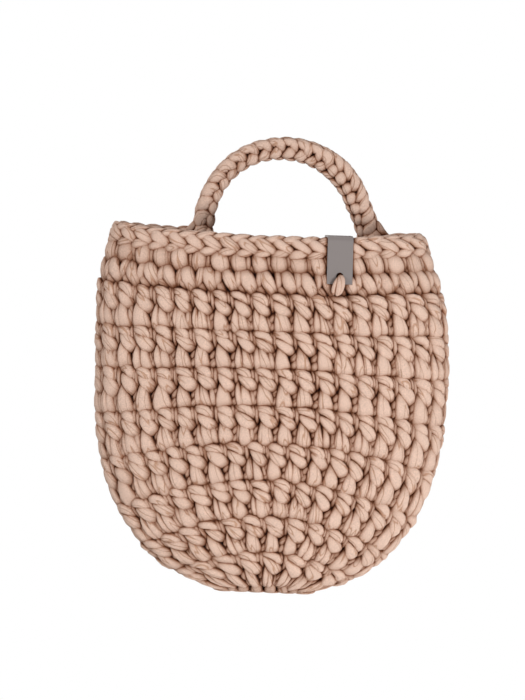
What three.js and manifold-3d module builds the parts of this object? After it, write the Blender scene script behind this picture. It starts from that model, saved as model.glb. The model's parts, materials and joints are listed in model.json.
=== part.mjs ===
// Hanging storage basket, crocheted from thick jersey yarn: a flat, U-shaped bag of tall and short rounds,
// a braided rim, an arched handle on the back of the mouth and a folded tag over the front.
// +Z is up, +Y points at the wall and the origin is the point of the handle that hangs on the hook.
import * as THREE from 'three';
import { mergeVertices } from 'three/addons/utils/BufferGeometryUtils.js';
import Module from 'manifold-3d';

const wasm = await Module();
wasm.setup();

// Outer sizes of the body, in millimetres
const BODY_WIDTH = 251;
const WIDEST_HEIGHT = 155;
const MOUTH_WIDTH = 224;
const BELLY_DEPTH = 78;
const BELLY_HEIGHT = 128;
const MOUTH_DEPTH = 70;
const MOUTH_LEAN = 6.5;

// The crocheted wall and the space left between neighbouring solids
const WALL = 12.5;
const CLEARANCE = 0.3;

// How far each kind of course climbs on the middle of the front
const START_RISE = 5;
const TALL_STITCH = 26;
const LOWER_SHORT_STITCH = 14.7;
const UPPER_SHORT_STITCH = 11;
const RIM_HEIGHT = 12.4;

// The back of the belly, pressed flat where it rests on the wall
const FLATTENED_BY = 0.8;

// The handle, measured along its middle line
const HANDLE_SPAN = 117;
const HANDLE_RISE = 65.5;
const HANDLE_WIDTH = 15.5;
const HANDLE_THICKNESS = 12;
const HANDLE_OFFSET = 4.5;

// The folded tag, its punched hole and the yarn through it
const LABEL_WIDTH = 18;
const LABEL_DROP = 30.5;
const LABEL_THICKNESS = 1.2;
const LABEL_OFFSET = 43;
const HOLE_RADIUS = 2.6;
const HOLE_TO_EDGE = 5.6;
const STITCH_WIDTH = 8.4;
const STITCH_THICKNESS = 5;
const STITCH_REACH = 11.5;

// How square the outlines are: 2 would be an ellipse
const FRONT_OUTLINE_POWER = 2.45;
const SIDE_OUTLINE_POWER = 2.2;
const MOUTH_TAPER_POWER = 3;
const MOUTH_LEAN_POWER = 1.5;
const HANDLE_ARCH_POWER = 2.15;
const HANDLE_SECTION_POWER = 2.6;
const FOLD_SQUARENESS = 6;

// How many flat steps stand for each curve
const AROUND_BODY = 48;
const ALONG_HANDLE = 26;
const AROUND_HANDLE = 10;
const FOOT_STEPS = 4;
const FOOT_END_SHARE = 0.5;
const FOLD_STEPS = 6;
const AROUND_HOLE = 16;
const AROUND_STITCH = 8;
const BEND_STEPS = 4;

// Courses from the foot up. An arched course meets the side folds lower than the middle of the front,
// and side_drop_share is that drop as a share of a tall stitch, at the upper edge of the course.
const COURSES = [
  { name: 'base_start', rise: START_RISE, side_drop_share: 0.13 },
  { name: 'base_round_1', rise: TALL_STITCH, side_drop_share: 0.66 },
  { name: 'base_round_2', rise: TALL_STITCH, side_drop_share: 1.0 },
  { name: 'base_round_3', rise: TALL_STITCH, side_drop_share: 1.03 },
  { name: 'wall_round_1', rise: TALL_STITCH, side_drop_share: 0.76 },
  { name: 'wall_round_2', rise: TALL_STITCH, side_drop_share: 0.52 },
  { name: 'wall_round_3', rise: TALL_STITCH, side_drop_share: 0.23 },
  { name: 'wall_round_4', rise: TALL_STITCH, side_drop_share: 0.05 },
  { name: 'wall_round_5', rise: TALL_STITCH, side_drop_share: -0.09 },
  { name: 'short_round_lower', rise: LOWER_SHORT_STITCH, side_drop_share: -0.1 },
  { name: 'short_round_upper', rise: UPPER_SHORT_STITCH, side_drop_share: -0.15 },
  { name: 'rim_braid', rise: RIM_HEIGHT, side_drop_share: -0.12 },
];
const FOOT_SIDE_LIFT_SHARE = 0.07;

// Section of a course: shares of its rise, and of half the wall, positive outwards
const COURSE_SECTION_SHARES = [
  [0, 0.5], [0.18, 1], [0.82, 1], [1, 0.5], [1, -0.5], [0.82, -1], [0.18, -1], [0, -0.5],
];
// Section of the start of the base, from under the middle, round its edge, to the floor inside
const START_SECTION_SHARES = [
  [0, 1], [0.45, 1], [0.85, 1], [1, 0.5], [1, -0.5], [0.85, -1], [0.45, -1], [0, -1],
];

const HALF_WALL = WALL / 2;
const HALF_GAP = CLEARANCE / 2;
const HALF_STRAP = HANDLE_THICKNESS / 2;
const QUARTER_TURN = Math.PI / 2;
const UPWARDS = new THREE.Vector3(0, 0, 1);

// Edges of the courses, as heights of the wall's middle surface above the foot
const edges = [{ middle: HALF_WALL, side: HALF_WALL + FOOT_SIDE_LIFT_SHARE * TALL_STITCH }];
for (const course of COURSES) {
  const middle = edges.at(-1).middle + course.rise;
  edges.push({ middle, side: middle - course.side_drop_share * TALL_STITCH });
}
const RIM_TOP = edges.at(-1).middle;

// Half of an outline at a height, with the direction that points squarely out of it
function outlineAt(height, half, mouthHalf, widest, power) {
  if (height < widest) {
    const below = (widest - height) / (widest - HALF_WALL);
    const reach = half * Math.max(0, 1 - below ** power) ** (1 / power);
    const out = (reach / half) ** (power - 1) / half;
    const up = -(below ** (power - 1)) / (widest - HALF_WALL);
    const size = Math.hypot(out, up);
    return { reach, out: out / size, up: up / size };
  }
  const above = (height - widest) / (RIM_TOP - widest);
  const taper = (mouthHalf - half) * above ** MOUTH_TAPER_POWER;
  const slope = (MOUTH_TAPER_POWER * (mouthHalf - half) * above ** (MOUTH_TAPER_POWER - 1)) / (RIM_TOP - widest);
  const size = Math.hypot(1, slope);
  return { reach: half + taper, out: 1 / size, up: -slope / size };
}

function flankAt(height) {
  const half = BODY_WIDTH / 2 - HALF_WALL;
  return outlineAt(height, half, MOUTH_WIDTH / 2 - HALF_WALL, WIDEST_HEIGHT, FRONT_OUTLINE_POWER);
}

function faceAt(height) {
  const half = BELLY_DEPTH / 2 - HALF_WALL;
  return outlineAt(height, half, MOUTH_DEPTH / 2 - HALF_WALL, BELLY_HEIGHT, SIDE_OUTLINE_POWER);
}

// The mouth hangs a little to the left of the foot
function leanAt(height) {
  const above = Math.max(0, height - WIDEST_HEIGHT) / (RIM_TOP - WIDEST_HEIGHT);
  return -MOUTH_LEAN * above ** MOUTH_LEAN_POWER;
}

// A point of the wall. turn runs from the right fold over the front, depth is measured outwards.
function wallPoint(middle, side, turn, depth) {
  const face = faceAt(middle);
  const flank = flankAt(side);
  const across = Math.cos(turn);
  const away = Math.sin(turn);
  const height = side * across ** 2 + middle * away ** 2;
  return new THREE.Vector3(
    across * (flank.reach + depth * flank.out) + leanAt(height),
    -away * (face.reach + depth * face.out),
    height + depth * (flank.up * across ** 2 + face.up * away ** 2),
  );
}

// Joins rows of points into one closed body with its faces pointing out
function bodyFromRows(rows, { rowsClose, sectionCloses }) {
  const positions = rows.flat().flatMap((point) => point.toArray());
  const count = rows[0].length;
  const indices = [];
  const lastRow = rowsClose ? rows.length : rows.length - 1;
  const lastPoint = sectionCloses ? count : count - 1;
  for (let row = 0; row < lastRow; row += 1) {
    const next = (row + 1) % rows.length;
    for (let point = 0; point < lastPoint; point += 1) {
      const after = (point + 1) % count;
      const a = row * count + point;
      const b = next * count + point;
      const c = next * count + after;
      const d = row * count + after;
      indices.push(a, b, c, a, c, d);
    }
  }
  if (!rowsClose) {
    for (let point = 1; point < count - 1; point += 1) {
      const end = (rows.length - 1) * count;
      indices.push(0, point, point + 1, end, end + point + 1, end + point);
    }
  }
  const geometry = new THREE.BufferGeometry();
  geometry.setAttribute('position', new THREE.Float32BufferAttribute(positions, 3));
  geometry.setIndex(indices);
  return pointingOut(mergeVertices(geometry));
}

function pointingOut(geometry) {
  const position = geometry.getAttribute('position');
  const index = geometry.getIndex();
  const corner = (slot) => new THREE.Vector3().fromBufferAttribute(position, index.getX(slot));
  let volume = 0;
  for (let slot = 0; slot < index.count; slot += 3) {
    volume += corner(slot).dot(corner(slot + 1).cross(corner(slot + 2)));
  }
  if (volume < 0) {
    geometry.setIndex(Array.from(index.array).reverse());
  }
  return geometry;
}

function toSolid(geometry) {
  const bare = geometry.clone();
  bare.deleteAttribute('normal');
  bare.deleteAttribute('uv');
  const merged = mergeVertices(bare);
  return new wasm.Manifold(new wasm.Mesh({
    numProp: 3,
    vertProperties: new Float32Array(merged.getAttribute('position').array),
    triVerts: new Uint32Array(merged.getIndex().array),
  }));
}

function fromSolid(solid) {
  const mesh = solid.getMesh();
  const geometry = new THREE.BufferGeometry();
  geometry.setAttribute('position', new THREE.Float32BufferAttribute(mesh.vertProperties, mesh.numProp));
  geometry.setIndex(Array.from(mesh.triVerts));
  return geometry;
}

// One course of the wall, or the oval start of the base, which closes under the middle
function courseBody(number) {
  const low = edges[number];
  const high = edges[number + 1];
  const isStart = number === 0;
  const lowGap = isStart ? 0 : HALF_GAP;
  const highGap = number === COURSES.length - 1 ? 0 : HALF_GAP;
  const shares = isStart ? START_SECTION_SHARES : COURSE_SECTION_SHARES;
  const flatBack = BELLY_DEPTH / 2 - FLATTENED_BY;
  const rows = [];
  for (let step = 0; step < AROUND_BODY; step += 1) {
    const turn = (step / AROUND_BODY) * 2 * Math.PI;
    rows.push(shares.map(([riseShare, depthShare]) => {
      const climb = isStart ? riseShare ** 2 : riseShare;
      const middle = THREE.MathUtils.lerp(low.middle + lowGap, high.middle - highGap, climb);
      const side = THREE.MathUtils.lerp(low.side + lowGap, high.side - highGap, climb);
      const point = wallPoint(middle, side, turn, depthShare * HALF_WALL);
      point.y = Math.min(point.y, flatBack);
      return point;
    }));
  }
  return bodyFromRows(rows, { rowsClose: true, sectionCloses: !isStart });
}

// The turn at which the wall passes a place across the mouth, on the front
function turnAt(across) {
  return Math.acos((across - leanAt(RIM_TOP)) / flankAt(edges.at(-1).side).reach);
}

// Where the handle stands: in the middle of the back wall, on the highest place under its two feet
const rimFoot = edges.at(-2);
const halfSpan = HANDLE_SPAN / 2;
function underHandle(across, depth) {
  return wallPoint(rimFoot.middle, rimFoot.side, -turnAt(HANDLE_OFFSET + across), depth);
}
const feet = [underHandle(-halfSpan, 0), underHandle(halfSpan, 0)];
const outerCorners = [-1, 1].flatMap((side) => [-1, 1].map((face) => {
  return underHandle(side * (halfSpan + HANDLE_WIDTH / 2), face * HALF_WALL);
}));
const PIVOT_Y = (feet[0].y + feet[1].y) / 2;
const PIVOT_Z = Math.max(...outerCorners.map((corner) => corner.z)) + HALF_GAP + HALF_STRAP;
const HOOK_Z = PIVOT_Z + HANDLE_RISE - HANDLE_WIDTH / 2;

// The braided rim stops at the outer sides of the handle's feet
function rimBody() {
  const opening = HANDLE_SPAN + HANDLE_WIDTH + 2 * CLEARANCE;
  const cutter = new THREE.BoxGeometry(opening, MOUTH_DEPTH, 2 * (RIM_HEIGHT + WALL));
  cutter.translate(HANDLE_OFFSET, MOUTH_DEPTH / 2, RIM_TOP);
  return fromSolid(toSolid(courseBody(COURSES.length - 1)).subtract(toSolid(cutter)));
}

// A rounded section across the strap: u runs across its width, v through its thickness
function strapSection(origin, across, halfThickness) {
  const points = [];
  for (let step = 0; step < AROUND_HANDLE; step += 1) {
    const turn = ((step + 0.5) / AROUND_HANDLE) * 2 * Math.PI;
    const u = Math.sign(Math.cos(turn)) * Math.abs(Math.cos(turn)) ** (2 / HANDLE_SECTION_POWER);
    const v = Math.sign(Math.sin(turn)) * Math.abs(Math.sin(turn)) ** (2 / HANDLE_SECTION_POWER);
    const point = origin.clone().addScaledVector(across, (u * HANDLE_WIDTH) / 2);
    point.y += v * halfThickness;
    points.push(point);
  }
  return points;
}

// Foot sections shrink below the pivot, so that each foot is round about the hinge line
function footSections(side) {
  const rows = [];
  for (let step = FOOT_STEPS; step > 0; step -= 1) {
    const turn = (step / (FOOT_STEPS + FOOT_END_SHARE)) * QUARTER_TURN;
    const origin = new THREE.Vector3(
      HANDLE_OFFSET + side * halfSpan,
      PIVOT_Y,
      PIVOT_Z - HALF_STRAP * Math.sin(turn),
    );
    rows.push(strapSection(origin, new THREE.Vector3(side, 0, 0), HALF_STRAP * Math.cos(turn)));
  }
  return rows;
}

function handleBody() {
  const rows = footSections(1);
  for (let step = 0; step <= ALONG_HANDLE; step += 1) {
    const turn = (step / ALONG_HANDLE) * Math.PI;
    const cos = Math.cos(turn);
    const sin = Math.sin(turn);
    const right = Math.sign(cos) * Math.abs(cos) ** (2 / HANDLE_ARCH_POWER);
    const up = Math.abs(sin) ** (2 / HANDLE_ARCH_POWER);
    const origin = new THREE.Vector3(
      HANDLE_OFFSET + halfSpan * right,
      PIVOT_Y,
      PIVOT_Z + HANDLE_RISE * up,
    );
    const across = new THREE.Vector3(
      Math.sign(right) * Math.abs(right) ** (HANDLE_ARCH_POWER - 1) * HANDLE_RISE,
      0,
      up ** (HANDLE_ARCH_POWER - 1) * halfSpan,
    ).normalize();
    rows.push(strapSection(origin, across, HALF_STRAP));
  }
  rows.push(...footSections(-1).reverse());
  return bodyFromRows(rows, { rowsClose: false, sectionCloses: true });
}

// The tag is drawn in the plane that cuts the front wall squarely at its middle:
// x runs outwards from the wall's middle surface at the rim and y is height.
const labelTurn = turnAt(LABEL_OFFSET);
const labelSeat = wallPoint(RIM_TOP, edges.at(-1).side, labelTurn, 0);
const labelAhead = wallPoint(RIM_TOP, edges.at(-1).side, labelTurn + CLEARANCE / WALL, 0);
const labelYaw = Math.atan2(labelSeat.y - labelAhead.y, labelSeat.x - labelAhead.x);
const labelOut = new THREE.Vector3(Math.sin(labelYaw), -Math.cos(labelYaw), 0);

// Distance of the wall's surface from the seat of the tag, at a drop below the rim
function wallDistance(drop, depth) {
  const share = (height, low, high) => (height - low) / (high - low);
  const middle = RIM_TOP - drop;
  const above = edges.findIndex((edge) => edge.middle >= middle);
  const low = edges[above - 1];
  const high = edges[above];
  const side = THREE.MathUtils.lerp(low.side, high.side, share(middle, low.middle, high.middle));
  return wallPoint(middle, side, labelTurn, depth).sub(labelSeat).dot(labelOut);
}

// Across the tag's width the rim curves away behind it and its crest rises by these much
const besideTag = [-1, 1].flatMap((side) => [-1, 1].map((face) => {
  const turn = turnAt(LABEL_OFFSET + (side * LABEL_WIDTH) / 2);
  return wallPoint(RIM_TOP, edges.at(-1).side, turn, face * HALF_WALL).sub(labelSeat);
}));
const labelSag = Math.max(...besideTag.map((point) => Math.abs(point.dot(labelOut)) - HALF_WALL));
const labelCrest = Math.max(...besideTag.map((point) => point.z));

// The legs of the tag are straight, clear of the wall at the rim and at their ends
const LABEL_HOLD = HALF_WALL + labelSag + CLEARANCE;
const LABEL_SPREAD = wallDistance(LABEL_DROP, HALF_WALL) - HALF_WALL;
const HOLE_DROP = LABEL_DROP - HOLE_TO_EDGE;

function legDistance(drop, depth) {
  return (LABEL_SPREAD * drop) / LABEL_DROP + depth;
}

function labelBody() {
  const side = (depth) => {
    const points = [new THREE.Vector2(legDistance(LABEL_DROP, depth), -LABEL_DROP)];
    for (let step = 0; step <= FOLD_STEPS; step += 1) {
      const turn = (step / FOLD_STEPS) * Math.PI;
      const top = labelCrest + CLEARANCE + depth - LABEL_HOLD;
      points.push(new THREE.Vector2(depth * Math.cos(turn), top * Math.sin(turn) ** (1 / FOLD_SQUARENESS)));
    }
    points.push(new THREE.Vector2(legDistance(LABEL_DROP, -depth), -LABEL_DROP));
    return points;
  };
  const outline = [...side(LABEL_HOLD + LABEL_THICKNESS), ...side(LABEL_HOLD).reverse()];
  const strip = new THREE.ExtrudeGeometry(new THREE.Shape(outline), {
    depth: LABEL_WIDTH,
    bevelEnabled: false,
  });
  strip.translate(0, 0, -LABEL_WIDTH / 2);
  const punch = new THREE.CylinderGeometry(HOLE_RADIUS, HOLE_RADIUS, 2 * MOUTH_DEPTH, AROUND_HOLE);
  punch.rotateZ(QUARTER_TURN);
  punch.translate(0, -HOLE_DROP, 0);
  return fromSolid(toSolid(strip).subtract(toSolid(punch)));
}

// The yarn leaves the hole, swells, lies over the lower edge of the tag and goes back into the wall
function stitchBody() {
  const halfThickness = STITCH_THICKNESS / 2;
  const thin = HOLE_RADIUS - CLEARANCE;
  const bend = halfThickness + CLEARANCE;
  const wall = wallDistance(HOLE_DROP, HALF_WALL);
  const faceOfTag = legDistance(LABEL_DROP, LABEL_HOLD + LABEL_THICKNESS);
  const crest = faceOfTag + CLEARANCE + halfThickness;
  const lower = wallDistance(HOLE_DROP + STITCH_REACH, HALF_WALL);
  const path = [[wall + CLEARANCE, 0, 0, thin]];
  for (let step = 0; step <= BEND_STEPS; step += 1) {
    const turn = (step / BEND_STEPS) * QUARTER_TURN;
    const swell = THREE.MathUtils.lerp(thin, STITCH_WIDTH / 2, step / BEND_STEPS);
    path.push([crest - bend + bend * Math.sin(turn), -bend + bend * Math.cos(turn), turn, swell]);
  }
  for (let step = 0; step <= BEND_STEPS; step += 1) {
    const turn = (step / BEND_STEPS) * QUARTER_TURN;
    const swell = THREE.MathUtils.lerp(STITCH_WIDTH / 2, thin, step / BEND_STEPS);
    const drop = STITCH_REACH - bend + bend * Math.sin(turn);
    path.push([crest - bend + bend * Math.cos(turn), -drop, QUARTER_TURN + turn, swell]);
  }
  path.push([lower + CLEARANCE, -STITCH_REACH, Math.PI, thin]);
  const rows = path.map(([out, up, turn, halfWidth]) => {
    const flat = Math.min(halfThickness, halfWidth);
    const points = [];
    for (let step = 0; step < AROUND_STITCH; step += 1) {
      const round = (step / AROUND_STITCH) * 2 * Math.PI;
      const away = flat * Math.cos(round);
      points.push(new THREE.Vector3(
        out + away * Math.sin(turn),
        up - HOLE_DROP + away * Math.cos(turn),
        halfWidth * Math.sin(round),
      ));
    }
    return points;
  });
  return bodyFromRows(rows, { rowsClose: false, sectionCloses: true });
}

// Finishes
function yarnFinish() {
  return new THREE.MeshStandardMaterial({ color: 0xcfae9d, roughness: 0.95, metalness: 0 });
}

function tagFinish() {
  return new THREE.MeshStandardMaterial({ color: 0x8f8784, roughness: 0.6, metalness: 0 });
}

function named(name, geometry, material) {
  const mesh = new THREE.Mesh(geometry, material);
  mesh.name = name;
  return mesh;
}

// The basket is drawn on its foot, then hung with the hook point of the handle at the origin
const basket = new THREE.Group();
basket.position.set(-HANDLE_OFFSET, -PIVOT_Y, -HOOK_Z);
COURSES.forEach((course, number) => {
  const isRim = number === COURSES.length - 1;
  basket.add(named(course.name, isRim ? rimBody() : courseBody(number), yarnFinish()));
});
basket.add(named('handle', handleBody(), yarnFinish()));

const tag = new THREE.Group();
tag.position.copy(labelSeat);
tag.quaternion.setFromRotationMatrix(
  new THREE.Matrix4().makeBasis(labelOut, UPWARDS, new THREE.Vector3().crossVectors(labelOut, UPWARDS)),
);
tag.add(named('label', labelBody(), tagFinish()));
tag.add(named('label_stitch', stitchBody(), yarnFinish()));
basket.add(tag);

const hung = new THREE.Group();
hung.add(basket);

export default hung;
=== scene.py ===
# %% [markdown]
# The looks of a crocheted wall basket
#
# The basket is a flat bag of thick jersey yarn that hangs by one handle. Its construction is already packed
# as plain solids, one for each crocheted course. This file loads those solids and dresses every one of them
# in yarn. A crocheted wall could be faked with a bumpy picture on a smooth bag, but the yarn is nearly as
# thick as a finger and its shape shows on the outline, so every strand is made as a real swept shape here.

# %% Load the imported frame
import json
import math

import bpy
import numpy as np
from mathutils import Matrix, Vector

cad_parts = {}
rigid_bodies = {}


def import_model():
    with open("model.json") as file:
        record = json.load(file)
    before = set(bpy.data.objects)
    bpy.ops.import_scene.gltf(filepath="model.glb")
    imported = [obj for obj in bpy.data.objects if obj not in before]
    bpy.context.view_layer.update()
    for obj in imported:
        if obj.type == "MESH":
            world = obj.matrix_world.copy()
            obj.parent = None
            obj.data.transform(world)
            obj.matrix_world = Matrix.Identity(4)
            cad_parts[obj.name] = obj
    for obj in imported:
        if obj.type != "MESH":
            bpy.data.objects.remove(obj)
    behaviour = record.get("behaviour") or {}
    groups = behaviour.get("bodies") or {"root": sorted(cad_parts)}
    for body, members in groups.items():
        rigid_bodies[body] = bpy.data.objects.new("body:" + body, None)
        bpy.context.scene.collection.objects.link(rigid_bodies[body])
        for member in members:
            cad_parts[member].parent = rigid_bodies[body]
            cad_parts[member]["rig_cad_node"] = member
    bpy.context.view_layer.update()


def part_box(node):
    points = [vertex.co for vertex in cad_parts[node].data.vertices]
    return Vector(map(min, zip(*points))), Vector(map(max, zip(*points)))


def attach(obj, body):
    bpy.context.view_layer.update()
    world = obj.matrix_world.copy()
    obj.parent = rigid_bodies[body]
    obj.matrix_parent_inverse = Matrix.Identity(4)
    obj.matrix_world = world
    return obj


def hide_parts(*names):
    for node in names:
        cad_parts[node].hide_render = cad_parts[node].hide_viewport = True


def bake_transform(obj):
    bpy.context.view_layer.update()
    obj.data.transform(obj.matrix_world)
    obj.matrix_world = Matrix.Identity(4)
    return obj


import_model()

# %% [markdown]
# The sizes of the bag
#
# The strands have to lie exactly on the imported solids, so the bag's own measures are written down once more,
# in millimetres. The bag could be read back from the solids' corners instead, but a formula is smooth where
# the solids are faceted.

# %% Measures of the body, in millimetres
MM = 0.001
BODY_WIDTH = 251.0
WIDEST_HEIGHT = 155.0
MOUTH_WIDTH = 224.0
BELLY_DEPTH = 78.0
BELLY_HEIGHT = 128.0
MOUTH_DEPTH = 70.0
MOUTH_LEAN = 6.5
WALL = 12.5
HALF_WALL = WALL / 2
FRONT_OUTLINE_POWER = 2.45
SIDE_OUTLINE_POWER = 2.2
MOUTH_TAPER_POWER = 3
MOUTH_LEAN_POWER = 1.5

START_RISE = 5.0
TALL_STITCH = 26.0
LOWER_SHORT_STITCH = 14.7
UPPER_SHORT_STITCH = 11.0
RIM_HEIGHT = 12.4

# Each course from the foot up: its rise on the middle of the front, and how much lower its upper edge
# meets the side folds, as a share of a tall stitch
COURSES = [
    ("base_start", START_RISE, 0.13),
    ("base_round_1", TALL_STITCH, 0.66),
    ("base_round_2", TALL_STITCH, 1.0),
    ("base_round_3", TALL_STITCH, 1.03),
    ("wall_round_1", TALL_STITCH, 0.76),
    ("wall_round_2", TALL_STITCH, 0.52),
    ("wall_round_3", TALL_STITCH, 0.23),
    ("wall_round_4", TALL_STITCH, 0.05),
    ("wall_round_5", TALL_STITCH, -0.09),
    ("short_round_lower", LOWER_SHORT_STITCH, -0.1),
    ("short_round_upper", UPPER_SHORT_STITCH, -0.15),
    ("rim_braid", RIM_HEIGHT, -0.12),
]
FOOT_SIDE_LIFT_SHARE = 0.07

edges = [(HALF_WALL, HALF_WALL + FOOT_SIDE_LIFT_SHARE * TALL_STITCH)]
for name, rise, side_drop_share in COURSES:
    middle = edges[-1][0] + rise
    edges.append((middle, middle - side_drop_share * TALL_STITCH))
RIM_TOP = edges[-1][0]
print("rim top is", round(RIM_TOP, 1), "mm above the foot")

# %% [markdown]
# A wall to lay yarn on
#
# A point of the wall is given by the height of its course, by how far round the bag it lies, and by its
# depth through the wall. Seen from the front the bag is a U, and seen from the side a narrow wedge. Both
# outlines are one kind of curve, so one function serves both.

# %% Outlines and the wall's surface
def outline_at(height, half, mouth_half, widest, power):
    """Half the width of an outline, and the direction that points squarely out of it."""
    below = np.clip((widest - height) / (widest - HALF_WALL), 0.0, 1.0)
    low_reach = half * np.maximum(0.0, 1 - below ** power) ** (1 / power)
    low_out = (low_reach / half) ** (power - 1) / half
    low_up = -(below ** (power - 1)) / (widest - HALF_WALL)
    above = np.maximum(0.0, height - widest) / (RIM_TOP - widest)
    high_reach = half + (mouth_half - half) * above ** MOUTH_TAPER_POWER
    slope = MOUTH_TAPER_POWER * (mouth_half - half) / (RIM_TOP - widest)
    high_up = -slope * above ** (MOUTH_TAPER_POWER - 1)
    is_low = height < widest
    reach = np.where(is_low, low_reach, high_reach)
    out = np.where(is_low, low_out, 1.0)
    up = np.where(is_low, low_up, high_up)
    size = np.hypot(out, up)
    return reach, out / size, up / size


def wall_point(middle, side, turn, depth):
    """A point of the wall in millimetres above the foot; depth is measured outwards."""
    across, away = np.cos(turn), np.sin(turn)
    face_reach, face_out, face_up = outline_at(
        middle, BELLY_DEPTH / 2 - HALF_WALL, MOUTH_DEPTH / 2 - HALF_WALL, BELLY_HEIGHT, SIDE_OUTLINE_POWER)
    flank_reach, flank_out, flank_up = outline_at(
        side, BODY_WIDTH / 2 - HALF_WALL, MOUTH_WIDTH / 2 - HALF_WALL, WIDEST_HEIGHT, FRONT_OUTLINE_POWER)
    height = side * across ** 2 + middle * away ** 2
    above_widest = np.maximum(0.0, height - WIDEST_HEIGHT) / (RIM_TOP - WIDEST_HEIGHT)
    lean = -MOUTH_LEAN * above_widest ** MOUTH_LEAN_POWER
    x = across * (flank_reach + depth * flank_out) + lean
    y = -away * (face_reach + depth * face_out)
    z = height + depth * (flank_up * across ** 2 + face_up * away ** 2)
    return np.stack([x, y, z], axis=-1)


foot_low, foot_high = (np.array(corner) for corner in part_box("base_start"))
BASKET_SHIFT = np.array([(foot_low[0] + foot_high[0]) / 2, (foot_low[1] + foot_high[1]) / 2, foot_low[2]])


def hung(points):
    """Millimetres above the foot become metres in the frame, where the hook point is the origin."""
    return points * MM + BASKET_SHIFT


sample_number = [name for name, _, _ in COURSES].index("wall_round_3")
side_point = hung(wall_point(*edges[sample_number + 1], 0.0, HALF_WALL))
print("right side of a wall round:", side_point.round(4))

# %% [markdown]
# Room for the stitches
#
# A crocheted round has a whole number of stitches, all as wide as the yarn makes them. The rounds of the
# base have fewer, because they are shorter. Each stitch is drawn flat, a little wider than its place, and
# is pressed into the round. The stitches are spread evenly along the round's real length, so they don't
# bunch up at the side folds.

# %% Spread stitches along a round
STITCH_WIDTH = 13.8
PACKED_STITCH = 13.5
ROUND_SAMPLES = 1441


def level(number, climb):
    """Heights of a course at the middle of the front and at the side folds, for a share of its rise."""
    (low_middle, low_side), (high_middle, high_side) = edges[number], edges[number + 1]
    return low_middle + (high_middle - low_middle) * climb, low_side + (high_side - low_side) * climb


def round_ruler(number):
    """Turns around a course, and how far along it each of them lies.

    It is measured half way up, but the start of the base along its upper edge, where it has its full size.
    """
    turns = np.linspace(math.pi, -math.pi, ROUND_SAMPLES)
    middle, side = level(number, 1.0 if number == 0 else 0.5)
    line = wall_point(np.full_like(turns, middle), np.full_like(turns, side), turns, 0.0)
    steps = np.linalg.norm(np.diff(line, axis=0), axis=1)
    return turns, np.concatenate([[0.0], np.cumsum(steps)])


stitch_counts = {}
for number, (name, _, _) in enumerate(COURSES):
    _, distances = round_ruler(number)
    stitch_counts[name] = round(distances[-1] / PACKED_STITCH)
print("stitches that each round has room for:", stitch_counts)

# %% [markdown]
# One strand of yarn
#
# Jersey yarn is a strip of knitted cotton that rolls up on itself, so each piece of it that shows in a
# stitch is a plump ribbon that narrows at its ends, where it dives under its neighbours. It could be a
# Blender curve with a bevel, but there are thousands, and each is squeezed differently. So a strand is
# swept in numbers: four points that it passes through, a half width, a half thickness, how blunt both ends
# are, how much it widens on its way, and a crease that runs along it.

# %% What a strand is, and the shape of its section
rng = np.random.default_rng(20)
LAGRANGE_KNOTS = np.array([0.0, 1 / 3, 2 / 3, 1.0])
SECTION_BUNCHING = 0.35
SECTION_POWER = 0.88
THICKNESS_POWER = 0.8
END_SHARE = 0.006
CREASE_WIDTH = 0.27


def strand(path, half_width, half_thick, ends=(2.4, 2.4), flare=0.0):
    """The design of one strand.

    ends say how blunt its start and its end are: 1 is a point, 4 nearly square. flare widens it on its way.
    """
    return {"path": path, "half_width": half_width, "half_thick": half_thick, "ends": ends, "flare": flare}


def through_four(t):
    """Weights that lead a smooth curve through four points, and the weights of its direction."""
    powers = np.stack([t ** 0, t, t ** 2, t ** 3], axis=1)
    slopes = np.stack([0 * t, t ** 0, 2 * t, 3 * t ** 2], axis=1)
    solve = np.linalg.inv(np.stack([LAGRANGE_KNOTS ** k for k in range(4)], axis=1))
    return powers @ solve, slopes @ solve


def section_angles(around):
    """Directions round a strand, closer together on the side that shows."""
    evenly = np.linspace(0, 2 * math.pi, around, endpoint=False)
    return evenly + math.pi / 2 - SECTION_BUNCHING * np.sin(evenly)


def bent(wave, power):
    """A sine or cosine raised to a power with its sign kept, which makes a circle fuller or slimmer."""
    return np.sign(wave) * np.abs(wave) ** power


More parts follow.
